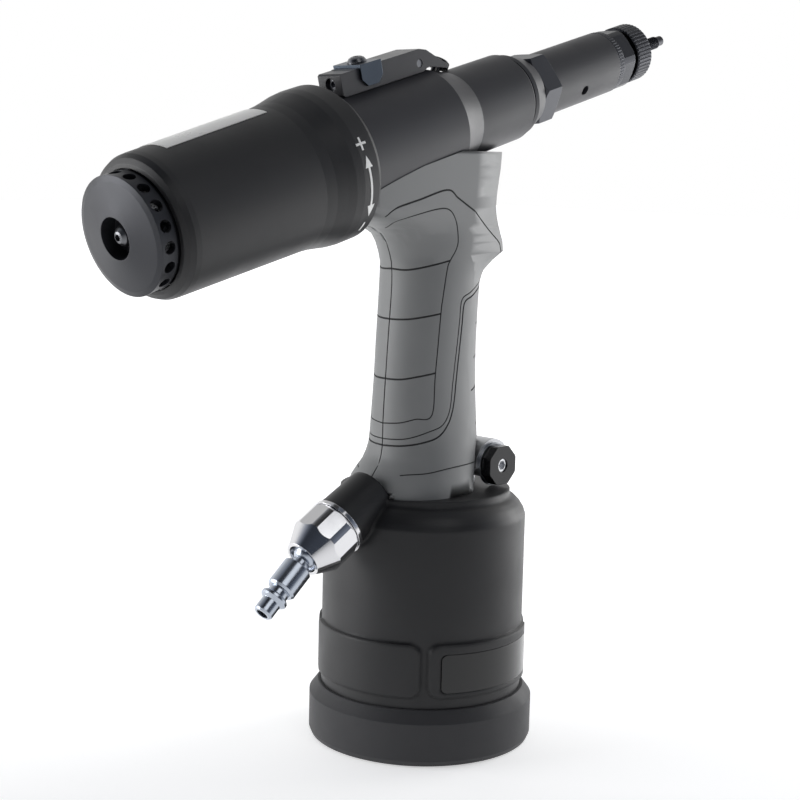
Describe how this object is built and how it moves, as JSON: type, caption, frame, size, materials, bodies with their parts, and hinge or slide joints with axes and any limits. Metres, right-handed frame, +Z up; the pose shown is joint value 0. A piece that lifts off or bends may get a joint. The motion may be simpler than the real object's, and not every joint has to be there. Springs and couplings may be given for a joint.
{
  "type": "pneumatic rivet gun",
  "caption": "Pistol-shaped pneumatic rivet-nut gun with a cylinder base, grip, trigger, tilted barrel, turning rear housing, threaded mandrel and swivel air inlet.",
  "frame": {"origin": "centre of the round underside of the base, on the surface it stands on", "axes": "+Z up, +X towards the nose, which rises 15.4 degrees; the tool is mirrored about y = 0 except for small valves"},
  "size_m": [0.3297, 0.098, 0.317],
  "materials": {
    "rubber_boot": "satin moulded rubber",
    "black_paint": "fine texture powder coat",
    "name_plate": "gloss film, blank",
    "aluminium_plain": "machined",
    "spring_steel": "oiled",
    "seal_rubber": "moulded",
    "hard_steel": "ground",
    "zinc_screw": "zinc plated",
    "bronze": "machined",
    "grip_moulding": "fine moulded texture",
    "trigger_plastic": "fine moulded texture",
    "grey_paint": "satin grey enamel",
    "steel_dark": "phosphated steel",
    "black_oxide": "black oxide",
    "white_label": "white film, blank",
    "vane_resin": "laminated resin",
    "black_knob": "gloss black",
    "socket_bright": "bright steel",
    "chrome": "polished plating"
  },
  "bodies": {
    "tool": {"base_boot": "rubber_boot", "power_cylinder": "black_paint", "side_plates": "name_plate", "cylinder_cover": "aluminium_plain", "retaining_ring": "spring_steel", "rod_gland": "bronze", "core_screws": "zinc_screw", "handle_core": "aluminium_plain", "grip_shell_left": "grip_moulding", "grip_shell_right": "grip_moulding", "valve_block": "bronze", "cross_pins": "hard_steel", "barrel_body": "grey_paint", "inlet_washer": "chrome", "relief_washer": "zinc_screw", "front_gland": "grey_paint", "hex_collar": "steel_dark", "nose_sleeve": "grey_paint", "nose_nut": "steel_dark", "anvil": "steel_dark", "shaft_seals": "seal_rubber", "motor_casing": "hard_steel", "exhaust_cap": "black_oxide", "cap_screw": "zinc_screw", "motor_rear_plate": "hard_steel", "motor_front_plate": "hard_steel", "shaft_bearings": "hard_steel", "motor_liner": "hard_steel", "ring_gear": "hard_steel", "lever_pin": "hard_steel", "return_springs": "spring_steel"},
    "ram": {"air_piston": "aluminium_plain", "piston_seal": "seal_rubber", "ram_rod": "hard_steel", "piston_nut": "zinc_screw"},
    "pull_piston_body": {"pull_piston": "hard_steel", "pull_piston_seal": "seal_rubber"},
    "spindle": {"drive_spindle": "hard_steel", "mandrel": "black_oxide"},
    "rotor": {"motor_rotor": "hard_steel", "rotor_vanes": "vane_resin", "sun_pinion": "hard_steel"},
    "carrier": {"planet_carrier": "hard_steel"},
    "planet_a": {"planet_gear_1": "hard_steel"},
    "planet_b": {"planet_gear_2": "hard_steel"},
    "planet_c": {"planet_gear_3": "hard_steel"},
    "housing": {"rear_housing": "black_paint", "top_label": "white_label"},
    "stop": {"stroke_stop": "hard_steel"},
    "trigger_body": {"trigger": "trigger_plastic"},
    "stem": {"valve_stem": "hard_steel"},
    "lever": {"lever_arm": "grey_paint", "lever_clip": "steel_dark", "button_screw": "zinc_screw", "lever_set_screw": "zinc_screw"},
    "button": {"reverse_button": "black_knob"},
    "swivel": {"swivel_body": "chrome"},
    "plug": {"air_plug": "chrome"},
    "relief_valve": {"relief_knob": "black_knob", "relief_screw": "socket_bright"}
  },
  "joints": [
    {"name": "ram_stroke", "type": "slide", "parent": "tool", "child": "ram", "axis": [0, 0, 1], "range_m": [0, 0.031]},
    {"name": "pull_stroke", "type": "slide", "parent": "tool", "child": "pull_piston_body", "axis": [-0.9641, 0, -0.2656], "range_m": [0, 0.007], "stiffness_N_per_m": 3000, "springref_m": -0.002, "deforming": ["return_springs"]},
    {"name": "rotor_spin", "type": "hinge", "parent": "tool", "child": "rotor", "pos_m": [0, 0, 0.267], "axis": [0.9641, 0, 0.2656], "continuous": true},
    {"name": "carrier_spin", "type": "hinge", "parent": "tool", "child": "carrier", "pos_m": [0, 0, 0.267], "axis": [0.9641, 0, 0.2656], "continuous": true},
    {"name": "spindle_spin", "type": "hinge", "parent": "pull_piston_body", "child": "spindle", "pos_m": [0, 0, 0.267], "axis": [0.9641, 0, 0.2656], "continuous": true},
    {"name": "planet_spin_a", "type": "hinge", "parent": "carrier", "child": "planet_a", "pos_m": [-0.09496, 0.012, 0.24084], "axis": [0.9641, 0, 0.2656], "continuous": true},
    {"name": "planet_spin_b", "type": "hinge", "parent": "carrier", "child": "planet_b", "pos_m": [-0.09772, -0.006, 0.25086], "axis": [0.9641, 0, 0.2656], "continuous": true},
    {"name": "planet_spin_c", "type": "hinge", "parent": "carrier", "child": "planet_c", "pos_m": [-0.0922, -0.006, 0.23082], "axis": [0.9641, 0, 0.2656], "continuous": true},
    {"name": "stroke_adjust", "type": "hinge", "parent": "tool", "child": "housing", "pos_m": [0, 0, 0.267], "axis": [0.9641, 0, 0.2656], "range_deg": [-180, 180]},
    {"name": "stop_travel", "type": "slide", "parent": "tool", "child": "stop", "axis": [0.9641, 0, 0.2656], "range_m": [-0.002, 0.002]},
    {"name": "trigger_pull", "type": "hinge", "parent": "tool", "child": "trigger_body", "pos_m": [0.0215, 0, 0.245], "axis": [0, 1, 0], "range_deg": [0, 8.6], "stiffness_Nm_per_rad": 0.5, "springref_deg": -5.73},
    {"name": "stem_travel", "type": "slide", "parent": "tool", "child": "stem", "axis": [-1, 0, 0], "range_m": [0, 0.0036]},
    {"name": "lever_press", "type": "hinge", "parent": "tool", "child": "lever", "pos_m": [-0.01686, 0, 0.29057], "axis": [0, 1, 0], "range_deg": [0, 4], "stiffness_Nm_per_rad": 0.8, "springref_deg": -5.73},
    {"name": "button_press", "type": "slide", "parent": "tool", "child": "button", "axis": [-0.4163, 0, -0.9092], "range_m": [0, 0.0012], "stiffness_N_per_m": 400, "springref_m": -0.002},
    {"name": "swivel_turn", "type": "hinge", "parent": "tool", "child": "swivel", "pos_m": [-0.0525, 0, 0.1008], "axis": [-0.866, 0, -0.5], "continuous": true},
    {"name": "plug_tilt", "type": "hinge", "parent": "swivel", "child": "plug", "pos_m": [-0.06878, 0, 0.0914], "axis": [0, 1, 0], "range_deg": [0, 20]},
    {"name": "relief_turn", "type": "hinge", "parent": "tool", "child": "relief_valve", "pos_m": [0.0225, -0.025, 0.1206], "axis": [0, -1, 0], "range_deg": [0, 180]}
  ],
  "couplings": [
    {"joint": "pull_stroke", "follows": "ram_stroke", "ratio": 0.2235},
    {"joint": "carrier_spin", "follows": "rotor_spin", "ratio": 0.2},
    {"joint": "spindle_spin", "follows": "rotor_spin", "ratio": 0.2},
    {"joint": "planet_spin_a", "follows": "rotor_spin", "ratio": -0.53333},
    {"joint": "planet_spin_b", "follows": "rotor_spin", "ratio": -0.53333},
    {"joint": "planet_spin_c", "follows": "rotor_spin", "ratio": -0.53333},
    {"joint": "stop_travel", "follows": "stroke_adjust", "m_per_rad": 0.000636},
    {"joint": "stem_travel", "follows": "trigger_pull", "m_per_rad": 0.02195}
  ]
}
